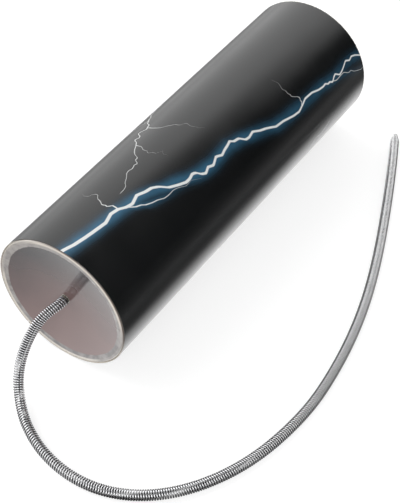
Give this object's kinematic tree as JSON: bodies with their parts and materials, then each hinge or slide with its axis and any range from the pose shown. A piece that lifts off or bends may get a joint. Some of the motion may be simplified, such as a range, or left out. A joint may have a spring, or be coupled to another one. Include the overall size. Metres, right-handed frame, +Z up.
{
  "type": "thunder tube",
  "caption": "Board tube closed at one end by a dished film head, with a long thin coil spring hanging from the head's centre; shaking it makes a rumble.",
  "frame": {"origin": "middle of the tube's length, on its axis", "axes": "+Y along the tube towards its open end, +Z up as it lies on a table 32.5 mm below the axis, +X towards the side on which the spring lies"},
  "size_m": [0.1374, 0.259, 0.065],
  "materials": {
    "board": "raw spiral-wound board",
    "print": "satin printed black, with pale forked strokes",
    "film": "glossy translucent film",
    "glue": "dried glue",
    "nickel": "nickel plate",
    "zinc": "zinc plate",
    "spring_wire": "drawn bright steel wire"
  },
  "bodies": {
    "tube": {"shell": "board", "printed_wrap": "print", "drumhead": "film", "glue_ring": "glue"},
    "head_anchor": {"eyelet": "nickel", "anchor_washer": "zinc"},
    "swivel": {"swivel_pin": "nickel"},
    "spring": {"spring": "spring_wire"}
  },
  "joints": [
    {"name": "head_pulse", "type": "slide", "parent": "tube", "child": "head_anchor", "axis": [0, 1, 0], "range_m": [-0.0015, 0.0015], "stiffness_N_per_m": 150, "deforming": ["drumhead"]},
    {"name": "spring_swivel", "type": "hinge", "parent": "head_anchor", "child": "swivel", "pos_m": [0, -0.098, 0], "axis": [0, 1, 0], "continuous": true},
    {"name": "spring_swing", "type": "hinge", "parent": "swivel", "child": "spring", "pos_m": [0, -0.1, 0], "axis": [0, 0, 1], "range_deg": [-60, 10]}
  ]
}
